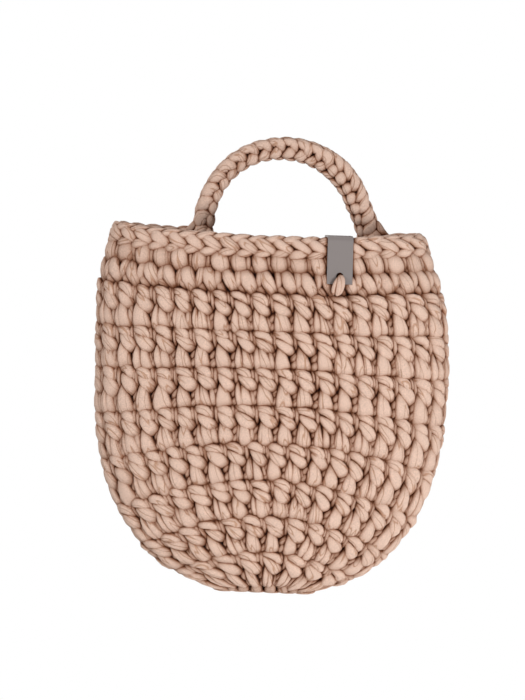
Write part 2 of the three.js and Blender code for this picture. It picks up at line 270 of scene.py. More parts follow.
# %% Sweep many strands at once
def sweep(paths, half_width, half_thick, rows, around, crease, ends=(2.4, 2.4), flare=0.0, outside=False):
    """Sweeps one strand for each path. paths is (count, 4, 3) in flat millimetres: x, y down, depth.

    A strand faces the side of the wall that it lies on, or always outwards where outside is set. Returns
    points (count, rows, around, 3), and for each point how far along and round the strand it is.
    """
    count = len(paths)
    t = 0.5 - 0.5 * np.cos(np.linspace(0, math.pi, rows))
    position, direction = through_four(t)
    centre = np.einsum("rk,ckx->crx", position, paths)
    tangent = np.einsum("rk,ckx->crx", direction, paths)
    tangent /= np.linalg.norm(tangent, axis=-1, keepdims=True)
    facing = np.ones(count) if outside else np.sign(paths[:, 1:3, 2].mean(axis=1))
    outwards = np.array([0.0, 0.0, 1.0]) * facing[:, None, None]
    sideways = np.cross(tangent, outwards)
    sideways /= np.linalg.norm(sideways, axis=-1, keepdims=True)
    lift = np.cross(sideways, tangent)
    angles = section_angles(around)
    bluntness = np.where(t < 0.5, ends[0], ends[1])
    within = np.clip(t, END_SHARE, 1 - END_SHARE)
    plump = (1 - np.abs(2 * within - 1) ** bluntness) ** (1 / bluntness)
    wide = half_width[:, None] * plump * (1 + flare * (t - 0.5))
    thick = half_thick[:, None] * plump ** THICKNESS_POWER
    across = bent(np.cos(angles), SECTION_POWER)
    upwards = bent(np.sin(angles), SECTION_POWER)
    wander = crease[:, 0, None] + crease[:, 1, None] * np.sin(math.pi * (t + crease[:, 2, None]))
    gap = (angles[None, None, :] - wander[:, :, None] + math.pi) % (2 * math.pi) - math.pi
    dent = 1 - crease[:, 3, None, None] * np.exp(-(gap / CREASE_WIDTH) ** 2)
    offset_side = wide[:, :, None] * across * dent
    offset_lift = thick[:, :, None] * upwards * dent
    points = (centre[:, :, None, :] + offset_side[..., None] * sideways[:, :, None, :]
              + offset_lift[..., None] * lift[:, :, None, :])
    length = np.linalg.norm(np.diff(centre, axis=1), axis=-1).cumsum(axis=1)
    length = np.concatenate([np.zeros((count, 1)), length], axis=1)
    along = np.repeat(length[:, :, None], around, axis=2)
    return points, along, np.broadcast_to(wide[:, :, None] * across, along.shape)


# %% [markdown]
# Collecting strands into pieces
#
# Each strand could be an object of its own, but Blender is slow with thousands of objects, so a round of
# the basket becomes one mesh. Every point also remembers three facts for the material: where it lies on
# its strand, a number that belongs to its strand alone, and how near the skin of the wall it is. The last
# one paints shade into the valleys between strands, where thick yarn lies in shade.

# %% A bag that collects strands
def inside_out(strand):
    """True if faces that follow a strand's rows and sections would look inwards."""
    middle = strand.mean(axis=1)
    tangent = np.gradient(middle, axis=0)
    spoke = strand[:, 0] - middle
    next_spoke = strand[:, 1] - middle
    return float(np.einsum("rx,rx->r", np.cross(spoke, next_spoke), tangent).sum()) < 0


class YarnPile:
    """Collects strands and turns them into one mesh."""

    def __init__(self):
        self.points, self.quads, self.triangles, self.facts, self.shade_levels = [], [], [], [], []
        self.size = 0

    def add(self, points, along, around_mm, shade_levels):
        """Closes strands, given as rows of sections, with faces all round and at both ends."""
        count, rows, around, _ = points.shape
        start = self.size + np.arange(count)[:, None, None] * (rows * around)
        row = np.arange(rows - 1)[None, :, None] * around
        column = np.arange(around)[None, None, :]
        after = (column + 1) % around
        quads = np.stack([start + row + column, start + row + after,
                          start + row + around + after, start + row + around + column], axis=-1)
        fan = np.arange(1, around - 1)
        first = self.size + np.arange(count)[:, None] * (rows * around)
        last = first + (rows - 1) * around
        near = np.stack([first + 0 * fan, first + fan + 1, first + fan], axis=-1)
        far = np.stack([last + 0 * fan, last + fan, last + fan + 1], axis=-1)
        quads, ends = quads.reshape(-1, 4), np.concatenate([near.reshape(-1, 3), far.reshape(-1, 3)])
        if inside_out(points[0]):
            quads, ends = quads[:, ::-1], ends[:, ::-1]
        self.quads.append(quads)
        self.triangles.append(ends)
        lots = np.repeat(rng.random(count), rows * around)
        self.points.append(points.reshape(-1, 3))
        self.facts.append(np.stack([along.reshape(-1), around_mm.reshape(-1), lots], axis=-1))
        self.shade_levels.append(np.broadcast_to(shade_levels, along.shape).reshape(-1))
        self.size += count * rows * around

    def build(self, name, material):
        """Makes one smooth mesh of everything in the pile."""
        points = np.concatenate(self.points)
        quads, triangles = np.concatenate(self.quads), np.concatenate(self.triangles)
        mesh = bpy.data.meshes.new(name)
        mesh.vertices.add(len(points))
        mesh.vertices.foreach_set("co", points.astype(np.float32).ravel())
        corners = np.concatenate([quads.ravel(), triangles.ravel()])
        sizes = np.concatenate([np.full(len(quads), 4), np.full(len(triangles), 3)])
        mesh.loops.add(len(corners))
        mesh.loops.foreach_set("vertex_index", corners.astype(np.int32))
        mesh.polygons.add(len(sizes))
        mesh.polygons.foreach_set("loop_start", (np.cumsum(sizes) - sizes).astype(np.int32))
        mesh.update(calc_edges=True)
        mesh.polygons.foreach_set("use_smooth", np.ones(len(sizes), dtype=bool))
        facts = mesh.attributes.new("strand", "FLOAT_VECTOR", "POINT")
        facts.data.foreach_set("vector", np.concatenate(self.facts).astype(np.float32).ravel())
        # This attribute sets the painted shade of depth: 0 is the darkest, 1 is none
        shade_levels = mesh.attributes.new("shade_nearness", "FLOAT", "POINT")
        shade_levels.data.foreach_set("value", np.concatenate(self.shade_levels).astype(np.float32))
        mesh.validate()
        mesh.materials.append(material)
        piece = bpy.data.objects.new(name, mesh)
        bpy.context.scene.collection.objects.link(piece)
        print(name, "has", len(points), "points and", len(quads) + len(triangles), "faces")
        return piece

# %% [markdown]
# Laying a flat stitch on the wall
#
# Each stitch is designed flat, in its own small rectangle: so far to the right, so far down from the top
# of its round, and so far out from the middle of the wall. A finished sheet could be wrapped round the bag
# with modifiers, but it would be squeezed at the foot. So these functions bend the points of each strand
# round the bag. Crossing into the next round is allowed, because real strands reach under the one above.

# %% From a flat stitch to the bag
LEVELS = np.arange(len(edges))
MIDDLES, SIDES = np.array(edges).T
WALL_GAP = 0.8
BACK_FLAT = BELLY_DEPTH / 2 - WALL_GAP
BACK_KNEE = 1.0


def heights_at(place):
    """Heights at the middle of the front and at the side folds, for a place counted in courses."""
    return np.interp(place, LEVELS, MIDDLES), np.interp(place, LEVELS, SIDES)


def soft_limit(values, limit, knee):
    """Keeps values under a limit with a rounded knee, as a wall behind would press the yarn."""
    over = np.clip((values - (limit - knee)) / (2 * knee), 0.0, None)
    return np.where(values < limit - knee, values, limit - knee + 2 * knee * over / (1 + over))


def on_the_wall(number, starts, count, points):
    """Bends flat points (strands, rows, around, 3) round the bag.

    starts says where in the round each stitch stands, counted in stitches.
    """
    turns, distances = round_ruler(number)
    share = (starts[:, None, None] + points[..., 0] / STITCH_WIDTH) / count
    turn = np.interp((share % 1.0) * distances[-1], distances, turns)
    place = number + 1 - points[..., 1] / COURSES[number][1]
    above = np.maximum(0.0, place - LEVELS[-1]) * RIM_HEIGHT
    middle, side = heights_at(place)
    laid = wall_point(middle + above, side + above, turn, points[..., 2])
    laid[..., 1] = soft_limit(laid[..., 1], BACK_FLAT, BACK_KNEE)
    return laid


# %% [markdown]
# Chance in the strands
#
# No two stitches of handwork are the same, so each strand is moved, widened and creased a little by
# chance. It could be done with a Displace modifier on the finished mesh, but that would dent strands
# instead of moving them whole. The generator starts from one seed, so every run makes the same basket.

# %% Shake, crease and lay one strand for many stitches
WHOLE_SHAKE = np.array([1.0, 1.0, 0.45])
POINT_SHAKE = np.array([0.6, 0.6, 0.3])
CREASE_SPREAD = 0.75
CREASE_WANDER = 0.5
CREASE_DEPTHS = (0.02, 0.12)
WIDTH_CHANCE = (0.92, 1.1)
THICKNESS_CHANCE = (0.94, 1.06)
# The painted shade of depth is darkest this near the middle of the wall and fades out over the next depth
DEEPEST_SEEN = 1.2
SHADE_FADE_DEPTH = HALF_WALL - 0.4
TOP_CURVE = 5.0


def shaken(paths, amount):
    """Moves whole strands a little and their points less, so that no two stitches are the same."""
    whole = np.clip(rng.normal(0, 1, (len(paths), 1, 3)), -2, 2) * WHOLE_SHAKE
    single = np.clip(rng.normal(0, 1, paths.shape), -2, 2) * POINT_SHAKE
    return paths + (whole + single) * amount


def creases(count):
    """Where the folds of each strand run: a place round it, a wander, a phase and a depth."""
    place = math.pi / 2 + rng.uniform(-CREASE_SPREAD, CREASE_SPREAD, count)
    wander = rng.uniform(-CREASE_WANDER, CREASE_WANDER, count)
    return np.stack([place, wander, rng.uniform(0, 1, count), rng.uniform(*CREASE_DEPTHS, count)], axis=1)


def nearness_of(number, flat):
    """Nearness for the painted shade: 0 for a point deep in the wall, 1 for one on its skin. The rim has skin
    on its top as well.
    """
    crest = np.minimum(flat[..., 1] - TOP_CURVE, 0.0) if number == len(COURSES) - 1 else 0.0
    return np.clip((np.hypot(flat[..., 2], crest) - DEEPEST_SEEN) / SHADE_FADE_DEPTH, 0.0, 1.0)


def lay_leaf(pile, number, starts, count, leaf, shake=0.45, rows=10, around=14, shade_nearness=None):
    """Adds one strand of a stitch, for every stitch of starts, to a round's pile.

    nearness, the painted shade, comes from the depth, unless a strand lies where the depth doesn't tell it.
    """
    if len(starts) == 0:
        return
    paths = shaken(np.repeat(np.array(leaf["path"], float)[None], len(starts), axis=0), shake)
    widths = leaf["half_width"] * rng.uniform(*WIDTH_CHANCE, len(starts))
    thicks = leaf["half_thick"] * rng.uniform(*THICKNESS_CHANCE, len(starts))
    flat, along, across = sweep(paths, widths, thicks, rows, around, creases(len(starts)), leaf["ends"],
                                leaf["flare"])
    if shade_nearness is None:
        shade_nearness = nearness_of(number, flat)
    pile.add(hung(on_the_wall(number, starts, count, flat)), along, across, shade_nearness)


def sweep_table(leaves, rows, around):
    """Sweeps every strand of a table once. They all face outwards."""
    paths = np.array([leaf["path"] for leaf in leaves])
    widths = np.array([leaf["half_width"] for leaf in leaves])
    thicks = np.array([leaf["half_thick"] for leaf in leaves])
    return sweep(paths, widths, thicks, rows, around, creases(len(leaves)), outside=True)


# %% [markdown]
# The tall stitch
#
# Most rounds are tall stitches. From the front each shows a slanted cap, or one that curls down at its
# end, two thin strands beside it, a fat strand wrapped round its waist, and a post of one or three strands
# below that widen downwards. The picture shows all kinds of cap and post mixed without any order, so they
# are dealt out by chance, always the same way. One strand could be led through the whole stitch, as the
# real yarn goes, but most of its way is hidden, so only the parts that show are made. Their numbers are
# four points to the right, down and out, half the width, half the thickness, the bluntness of both ends
# and how much the strand widens.

# %% Strands of a tall stitch
TALL_CAP = strand(
    [(-1.6, 2.6, 0.8), (4.0, 2.5, 4.5), (8.8, 4.8, 4.9), (9.8, 11.0, 2.6)], 3.5, 2.9, (3.0, 3.0))
TALL_SIDE_ONE = strand(
    [(10.4, -0.8, 0.2), (11.3, 3.2, 3.6), (12.0, 7.0, 3.6), (11.6, 12.2, 0.4)], 2.0, 2.3, (3.0, 3.0))
TALL_SIDE_TWO = strand(
    [(12.8, -0.8, 0.2), (13.9, 4.0, 3.4), (14.6, 9.2, 3.5), (14.2, 15.4, 0.6)], 2.1, 2.3, (3.0, 3.0))
TALL_WRAP = strand(
    [(0.5, 4.8, 1.4), (4.4, 7.8, 4.3), (8.8, 12.0, 4.7), (12.2, 17.2, 1.8)], 4.2, 3.0, (2.2, 3.2), 0.8)
TALL_CURL = strand(
    [(-1.6, 2.7, 0.8), (5.2, 2.8, 4.2), (8.8, 5.8, 4.3), (7.0, 11.4, 2.2)], 3.6, 2.9, (3.0, 3.0))
TALL_POST_LEFT = strand(
    [(3.4, 8.6, 2.0), (2.8, 16.0, 4.1), (3.4, 23.2, 4.3), (5.8, 29.2, 0.4)], 3.3, 2.8, (2.4, 3.2), 1.1)
TALL_POST_MIDDLE = strand(
    [(4.4, 9.4, 2.0), (6.9, 17.0, 4.2), (8.4, 23.8, 4.4), (9.2, 29.2, 0.4)], 3.5, 2.8, (2.4, 3.2), 1.1)
TALL_POST_THIN = strand(
    [(9.4, 13.4, 0.8), (11.3, 18.6, 3.2), (12.3, 23.4, 3.5), (12.4, 28.4, 0.2)], 2.4, 2.3, (2.4, 3.0), 0.5)
TALL_POST_BROAD = strand(
    [(3.8, 8.4, 2.0), (5.2, 16.0, 4.2), (6.4, 23.2, 4.5), (8.0, 29.6, 0.4)], 5.1, 2.9, (2.4, 3.6), 1.1)
TALL_POST_RIGHT = strand(
    [(9.0, 12.0, 1.2), (11.4, 17.4, 3.4), (12.4, 22.6, 3.8), (12.0, 28.0, 0.4)], 2.9, 2.6, (2.4, 3.2), 0.5)
TALL_POST_SLANT = strand(
    [(4.0, 8.8, 2.0), (6.1, 16.6, 4.2), (7.8, 23.6, 4.5), (9.4, 29.4, 0.4)], 4.4, 2.9, (2.4, 3.4), 1.1)
TALL_POST_NARROW = strand(
    [(2.2, 9.8, 1.8), (2.5, 17.0, 3.8), (3.4, 23.4, 4.1), (5.2, 29.2, 0.4)], 2.9, 2.6, (2.6, 3.6), 0.6)
TALL_FILL_ONE = strand(
    [(3.4, 13.8, 0.0), (1.2, 16.8, 3.0), (-1.0, 19.6, 3.2), (-3.6, 23.0, 0.2)], 2.6, 2.2, (2.6, 2.6))
TALL_FILL_TWO = strand(
    [(3.8, 19.0, 0.0), (1.6, 22.0, 3.3), (-0.8, 24.6, 3.4), (-3.6, 27.4, 0.2)], 2.8, 2.2, (2.6, 2.6))
TALL_FILL_LOW = strand(
    [(-2.6, 17.8, 0.0), (-1.6, 21.6, 2.4), (0.2, 25.2, 2.6), (3.0, 29.4, 0.0)], 2.7, 1.9, (2.6, 2.6))
TALL_INSIDE = [
    strand([(-0.5, 2.0, -0.8), (4.5, 3.0, -3.5), (9.0, 3.6, -3.5), (14.0, 4.2, -0.9)], 3.7, 2.6),
    strand([(1.8, 4.4, -0.8), (3.8, 12.0, -3.2), (4.8, 18.6, -3.2), (4.6, 27.4, -0.9)],
           3.9, 2.8, (2.4, 3.0)),
    strand([(8.4, 4.6, -0.8), (10.4, 12.0, -3.1), (11.7, 18.6, -3.1), (11.5, 27.4, -0.9)],
           3.7, 2.7, (2.4, 3.0)),
]
TALL_COMMON = [TALL_SIDE_ONE, TALL_SIDE_TWO, TALL_FILL_ONE, TALL_FILL_TWO, TALL_FILL_LOW]
TALL_KINDS = [[TALL_POST_LEFT, TALL_POST_MIDDLE, TALL_POST_THIN], [TALL_POST_BROAD],
              [TALL_POST_NARROW, TALL_POST_SLANT, TALL_POST_RIGHT]]

# %% [markdown]
# The short stitches
#
# The two rounds under the rim are short stitches. Each shows one fat strand that leans to the right as it
# goes down, one narrower strand beside it, and a small piece between neighbours. They could be tall
# stitches pressed flat, but a short stitch has no post, so both rounds have designs of their own.

# %% Strands of the short stitches
LOWER_SHORT = [
    strand([(1.5, -2.6, 0.6), (3.4, 3.2, 3.9), (6.3, 9.4, 4.2), (9.6, 16.8, 1.0)],
           5.1, 2.9, (3.2, 2.4), 0.2),
    strand([(12.4, -2.4, 0.4), (12.7, 3.0, 3.6), (12.0, 8.6, 3.6), (9.6, 15.4, 0.8)], 3.2, 2.7, (3.4, 2.0)),
    strand([(-3.4, 6.6, 0.2), (-1.2, 10.0, 3.0), (1.0, 13.0, 3.1), (4.0, 16.8, 0.6)], 3.2, 2.3, (2.6, 2.6)),
]
UPPER_SHORT = [
    strand([(4.0, -3.4, 0.8), (5.3, 2.4, 3.7), (6.2, 7.4, 3.8), (7.4, 13.2, 1.2)], 6.1, 2.9, (3.4, 4.6)),
    strand([(11.0, -2.8, 0.4), (12.3, 2.0, 3.0), (12.7, 6.6, 3.0), (12.0, 12.6, 0.6)], 2.3, 2.4, (3.4, 2.6)),
    strand([(-2.8, 4.0, 0.0), (-1.0, 7.0, 2.2), (1.2, 9.8, 2.3), (4.0, 13.4, 0.2)], 2.7, 2.1, (2.6, 2.6)),
]
SHORT_INSIDE = [
    strand([(0.6, -0.8, -0.8), (3.6, 4.0, -3.3), (4.2, 9.0, -3.3), (3.0, 15.0, -0.8)], 3.8, 2.7),
    strand([(7.6, -0.8, -0.8), (10.6, 4.0, -3.2), (11.4, 9.0, -3.2), (10.0, 15.0, -0.8)], 3.6, 2.6),
]

# %% [markdown]
# The core of the wall
#
# Between the strands of a thick wall there is more yarn, not daylight. It could all be modelled, but it
# never shows, so a thin closed band in the middle of the wall stands for it. It is marked as lying deep, so
# that it takes the darkest painted shade, the shade of the gaps.

# %% A closed band in the middle of the wall
CORE_ROWS = 6
CORE_LAP = 0.02
CORE_HALF_THICK = 1.7
CORE_FROM_WALL = 1.2


def core_band(pile, low, high, half_thick, turns, closed=True):
    """Adds a closed band between two course places. turns run round the bag."""
    places = np.linspace(low, high, CORE_ROWS)
    ring = [(place, half_thick) for place in places] + [(place, -half_thick) for place in places[::-1]]
    grid = []
    for place, depth in ring:
        middle, side = heights_at(place)
        grid.append(wall_point(np.full_like(turns, middle), np.full_like(turns, side), turns, depth))
    grid = np.stack(grid, axis=1)
    grid[..., 1] = np.minimum(grid[..., 1], BACK_FLAT - CORE_FROM_WALL)
    if closed:
        grid = np.concatenate([grid, grid[:1]], axis=0)
    # Zero nearness gives the band the darkest painted shade
    flat = np.zeros(grid.shape[:2])
    pile.add(hung(grid)[None], flat[None], flat[None], flat[None])


# %% [markdown]
# The finish of the yarn
#
# Cotton jersey is matt and pale. Soft folds run along each strand, a fine knit covers it, and the lines
# where two strands meet lie in shade. A picture of yarn could be wrapped round the strands, but it would
# stretch where they widen. So the folds and the knit are noise, measured in each strand's own millimetres.
# The folds get painted shade as well as bump, and a node that feels how close other yarn lies paints shade
# onto the lines of contact.

# %% A short way to add and join nodes
class Nodes:
    """The nodes of a material or of the surroundings."""

    def __init__(self, owner):
        owner.use_nodes = True
        self.tree = owner.node_tree
        self.shader = self.tree.nodes.get("Principled BSDF")

    def fill(self, node, inputs):
        """Gives each of these inputs its value, or joins it to the output of another node."""
        for key, value in inputs.items():
            if isinstance(value, bpy.types.NodeSocket):
                self.tree.links.new(value, node.inputs[key])
            else:
                node.inputs[key].default_value = value
        return node

    def add(self, kind, inputs):
        """Adds a shader node of this kind and fills its inputs."""
        return self.fill(self.tree.nodes.new("ShaderNode" + kind), inputs)

    def maths(self, operation, *values):
        """The result of an operation on one, two or three values."""
        node = self.tree.nodes.new("ShaderNodeMath")
        node.operation = operation
        return self.fill(node, dict(enumerate(values))).outputs[0]

    def tinted(self, colour, tint):
        """One colour multiplied by another."""
        node = self.tree.nodes.new("ShaderNodeVectorMath")
        node.operation = "MULTIPLY"
        return self.fill(node, {0: colour, 1: tint}).outputs[0]

    def ramp(self, value, *stops):
        """A colour for each value from 0 to 1; a stop is a value and its colour."""
        node = self.add("ValToRGB", {"Fac": value})
        elements = node.color_ramp.elements
        elements[0].position, elements[1].position = stops[0][0], stops[-1][0]
        for place, _ in stops[1:-1]:
            elements.new(place)
        for element, (_, colour) in zip(elements, stops):
            element.color = (*colour, 1)
        return node.outputs["Color"]


# %% Folds and knit on each strand
yarn = bpy.data.materials.new("jersey_yarn")
cotton = Nodes(yarn)
strand_facts = cotton.add("Attribute", {})
strand_facts.attribute_name = "strand"
skin_along, skin_across, skin_lot = cotton.add("SeparateXYZ", {0: strand_facts.outputs["Vector"]}).outputs


def on_the_skin(first, second, lot_step):
    """A place for noise: two mixes of along and across, and a layer of its own for each strand."""
    mixes = [cotton.maths("ADD", cotton.maths("MULTIPLY", skin_along, along_factor),
                          cotton.maths("MULTIPLY", skin_across, across_factor))
             for along_factor, across_factor in (first, second)]
    layer = cotton.maths("MULTIPLY", skin_lot, lot_step)
    return cotton.add("CombineXYZ", {0: mixes[0], 1: mixes[1], 2: layer}).outputs[0]


folds = cotton.add("TexNoise", {"Scale": 1.0, "Detail": 1.0, "Roughness": 0.4,
                                "Vector": on_the_skin((0.036, 0.0), (0.0, 0.17), 91.0)})
from_fold = cotton.maths("ABSOLUTE", cotton.maths("SUBTRACT", folds.outputs["Fac"], 0.5))
fold_lines = cotton.add("MapRange", {"Value": from_fold, "From Min": 0.0, "From Max": 0.026})
fold_lines.interpolation_type = "SMOOTHSTEP"
knit = cotton.add("TexNoise", {"Scale": 1.0, "Detail": 3.0,
                               "Vector": on_the_skin((1.0, 1.0), (-2.2, 2.2), 57.0)})
print("the folds and the knit use", len(cotton.tree.nodes), "nodes")

# %% [markdown]
# The colour of the yarn
#
# The yarn is a pale dusty pink. Shade is painted into it: it goes brown in the depth of a stitch, by how
# near the skin of the wall a point lies, and darker along the lines of contact and the folds. The knit
# tints it, and a wide, weak mottle keeps a large basket from looking printed.

# %% Colour, painted shade of depth, contact lines and folds, and bump
WHITE = (1, 1, 1)
# Painted shade of depth: brown and dark deep in the wall, full colour on its skin
depth_facts = cotton.add("Attribute", {})
depth_facts.attribute_name = "shade_nearness"
painted_depth_shade = cotton.ramp(depth_facts.outputs["Fac"], (0.05, (0.120, 0.042, 0.018)),
                         (0.52, (0.430, 0.243, 0.166)), (1.0, (0.832, 0.602, 0.490)))
# Painted shade on the lines of contact, darker where other yarn lies close
occlusion = cotton.add("AmbientOcclusion", {"Distance": 0.0056})
occlusion.samples = 8
painted_contact_shade = cotton.ramp(occlusion.outputs["AO"], (0.20, (0.095, 0.030, 0.012)), (0.54, (0.205, 0.098, 0.054)),
                      (0.79, (0.57, 0.405, 0.312)), (1.0, WHITE))
# Painted shade along the fold lines; the same lines also drive the bump
painted_fold_shade = cotton.ramp(fold_lines.outputs["Result"], (0.0, (0.72, 0.590, 0.500)), (1.0, WHITE))
position = cotton.add("NewGeometry", {})
mottle = cotton.add("TexNoise", {"Scale": 55.0, "Detail": 2.0, "Vector": position.outputs["Position"]})
mottle_tone = cotton.add("MapRange", {"Value": mottle.outputs["Fac"], "To Min": 0.93, "To Max": 1.05})
knit_tone = cotton.add("MapRange", {"Value": knit.outputs["Fac"], "From Min": 0.3, "From Max": 0.7,
                                    "To Min": 0.80, "To Max": 1.16})
brightness = cotton.maths("MULTIPLY", mottle_tone.outputs["Result"], knit_tone.outputs["Result"])
colour = cotton.tree.nodes.new("ShaderNodeVectorMath")
colour.operation = "SCALE"
cotton.fill(colour, {0: cotton.tinted(cotton.tinted(painted_depth_shade, painted_contact_shade), painted_fold_shade), "Scale": brightness})

relief = cotton.maths("MULTIPLY_ADD", fold_lines.outputs["Result"], 0.8,
                      cotton.maths("MULTIPLY", knit.outputs["Fac"], 0.45))
bump = cotton.add("Bump", {"Strength": 0.65, "Distance": 0.0006, "Height": relief})
cotton.fill(cotton.shader, {
    "Base Color": colour.outputs[0], "Normal": bump.outputs["Normal"],
    "Roughness": 0.92, "Specular IOR Level": 0.06,
    "Sheen Weight": 0.06, "Sheen Roughness": 0.5, "Sheen Tint": (1.0, 0.86, 0.79, 1),
})
print("the yarn's finish uses", len(cotton.tree.nodes), "nodes")

# %% [markdown]
# Dressing the rounds
#
# Each packed course gets one piece of yarn, which takes its place. All stitches of a round could be copies
# of one mesh, but they would look stamped, so every strand of every stitch is laid by itself. Each wall
# round starts a little further left than the one below, as rounds of crochet do. Strands that are thin or
# face the inside need fewer points.

# %% Dress the rounds of the bag
PHASES = {
    "base_round_1": 0.1, "base_round_2": 0.4, "base_round_3": 0.2, "wall_round_1": 0.87,
    "wall_round_2": 0.78, "wall_round_3": 0.69, "wall_round_4": 0.60, "wall_round_5": 0.51,
    "short_round_lower": 0.8, "short_round_upper": 0.06,
}
KIND_CHANCES = [0.26, 0.54, 0.2]
CURLED_CHANCE = 0.5
FEWER_POINTS = {"rows": 8, "around": 8}
ALL_ROUND = np.linspace(math.pi, -math.pi, 120, endpoint=False)


def finish_round(pile, name):
    """Turns a pile into the piece that stands for one packed course."""
    piece = pile.build("yarn_" + name, yarn)
    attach(piece, "basket")
    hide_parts(name)


def tall_round(pile, number, starts, count):
    """Lays all the strands of a round of tall stitches."""
    kind = rng.choice(len(TALL_KINDS), count, p=KIND_CHANCES)
    for which, leaves in enumerate(TALL_KINDS):
        for leaf in leaves:
            lay_leaf(pile, number, starts[kind == which], count, leaf)
    is_curled = rng.random(count) < CURLED_CHANCE
    lay_leaf(pile, number, starts[~is_curled], count, TALL_CAP)
    lay_leaf(pile, number, starts[is_curled], count, TALL_CURL, rows=13)
    lay_leaf(pile, number, starts, count, TALL_WRAP, shake=0.55)
    for leaf in TALL_COMMON:
        lay_leaf(pile, number, starts, count, leaf, shake=0.2, **FEWER_POINTS)
    for leaf in TALL_INSIDE:
        lay_leaf(pile, number, starts, count, leaf, shake=0.3, **FEWER_POINTS)


def short_round(pile, number, starts, count, leaves):
    """Lays all the strands of a round of short stitches."""
    for leaf in leaves:
        lay_leaf(pile, number, starts, count, leaf)
    for leaf in SHORT_INSIDE:
        lay_leaf(pile, number, starts, count, leaf, shake=0.3, **FEWER_POINTS)


for number, (name, rise, _) in enumerate(COURSES):
    if name in ("base_start", "rim_braid"):
        continue
    pile = YarnPile()
    core_band(pile, number - CORE_LAP, number + 1 + CORE_LAP, CORE_HALF_THICK, ALL_ROUND)
    count = stitch_counts[name]
    starts = np.arange(count) + PHASES[name]
    if rise == TALL_STITCH:
        tall_round(pile, number, starts, count)
    else:
        short_round(pile, number, starts, count, LOWER_SHORT if name == "short_round_lower" else UPPER_SHORT)
    finish_round(pile, name)

# %% [markdown]
# The rim
#
# The rim is a braid: fat strands that slant one way along its outer face, and narrower ones along the top
# and the bottom that slant the other way. The same braid runs down the inner face. It could be plaited
# from endless strands, but here each loop starts and ends at one stitch, so it is laid like a round, with
# narrower places. It ends at the two feet of the handle, so the places behind the handle stay empty.

# %% Strands of the rim
RIM_PITCH = 11.9
RIM = [
    strand([(-5.4, 0.6, 0.6), (1.8, 3.6, 4.2), (8.8, 7.4, 4.5), (15.8, 11.0, 1.2)], 4.1, 2.8, (2.0, 1.9)),
    strand([(-5.6, 13.0, 0.8), (0.8, 11.8, 3.9), (7.2, 9.7, 4.0), (13.8, 6.2, 0.8)], 3.7, 2.6, (2.0, 2.2)),
    strand([(-10.0, 5.0, 1.0), (-3.8, 2.4, 3.5), (2.6, 0.9, 3.1), (9.4, -0.2, 0.6)], 3.1, 2.7, (2.2, 1.8)),
    strand([(-1.6, 0.2, -0.6), (4.0, 0.6, -2.3), (9.8, 1.6, -2.7), (15.4, 4.0, -1.0)], 2.8, 2.6, (2.4, 1.8)),
    strand([(-3.2, 1.6, 0.3), (1.6, 0.9, 0.5), (6.4, 0.8, 0.4), (11.2, 1.5, 0.2)], 2.0, 3.4),
    strand([(-1.2, 10.0, -1.4), (4.4, 7.4, -3.9), (9.8, 4.6, -3.9), (15.2, 2.0, -1.2)],
           3.8, 2.6, (2.4, 1.8)),
    strand([(-2.4, 8.6, -1.0), (3.4, 11.2, -3.3), (9.2, 12.2, -3.3), (14.6, 12.4, -1.0)],
           2.9, 2.4, (2.4, 1.8)),
]

# %% Where the handle interrupts the rim
BACK_FROM = -5.0
FOOT_CLEARANCE = 0.5
RIM_PHASE = 0.1
PLACE_REACH = 1.05


def box_in_mm(name):
    """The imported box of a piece, in millimetres from the hook point."""
    low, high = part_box(name)
    return np.array(low) / MM, np.array(high) / MM


handle_high = box_in_mm("handle")[1]
rim_number = len(COURSES) - 1
rim_turns, rim_distances = round_ruler(rim_number)
rim_heights = [np.full_like(rim_turns, height) for height in level(rim_number, 0.5)]
rim_line = hung(wall_point(*rim_heights, rim_turns, 0.0)) / MM
rim_count = round(rim_distances[-1] / RIM_PITCH)
rim_places = np.arange(rim_count) + RIM_PHASE


def back_rim_within(half_span):
    """Which points of the rim's line lie in the back wall, this near the middle."""
    return (rim_line[:, 1] > BACK_FROM) & (np.abs(rim_line[:, 0]) < half_span)


rim_is_cut = back_rim_within(handle_high[0] + FOOT_CLEARANCE)


def is_cut_at(places):
    """Whether these places of the braid lie behind the handle."""
    distances = (places / rim_count % 1.0) * rim_distances[-1]
    return np.interp(distances, rim_distances, rim_is_cut.astype(float)) > 0


kept = rim_places[~(is_cut_at(rim_places) | is_cut_at(rim_places + PLACE_REACH))]
print("the braid has", len(kept), "of", rim_count, "places, the others are behind the handle")

# %% Dress the rim
RIM_CORE_TOP = 0.72
RIM_CORE_HALF_THICK = 2.0
pile = YarnPile()
cut_turns = rim_turns[rim_is_cut]
open_turns = np.linspace(cut_turns.min() + 2 * math.pi, cut_turns.max(), 110)
core_band(pile, rim_number - CORE_LAP, rim_number + RIM_CORE_TOP, RIM_CORE_HALF_THICK, open_turns,
          closed=False)
for leaf in RIM:
    path = [(x * STITCH_WIDTH / RIM_PITCH, y, z) for x, y, z in leaf["path"]]
    lay_leaf(pile, rim_number, kept, rim_count, {**leaf, "path": path}, shake=0.25)
finish_round(pile, "rim_braid")

# %% [markdown]
# The seed of the foot
#
# The bag is begun on a short chain along the middle of its foot. The first stitches stand round that chain
# like the hours of a clock, and only a few millimetres of them show. They are too few and too uneven to be
# laid as a round, so each ray is placed by itself, from the chain to the first full round.

# %% Rays and chain of the foot
RAY_SHARES = np.array([0.05, 0.50, 0.95, 1.40])
RAY_DEPTHS = np.array([1.0, 3.8, 4.1, 0.8])
CHAIN_LINKS = 6
CHAIN_HALF_LENGTH = 34
CHAIN_DEPTH = 3.2


def foot_ray(turn, depths):
    """The four points of one ray."""
    return wall_point(*level(0, RAY_SHARES ** 2), np.full(4, turn), depths)


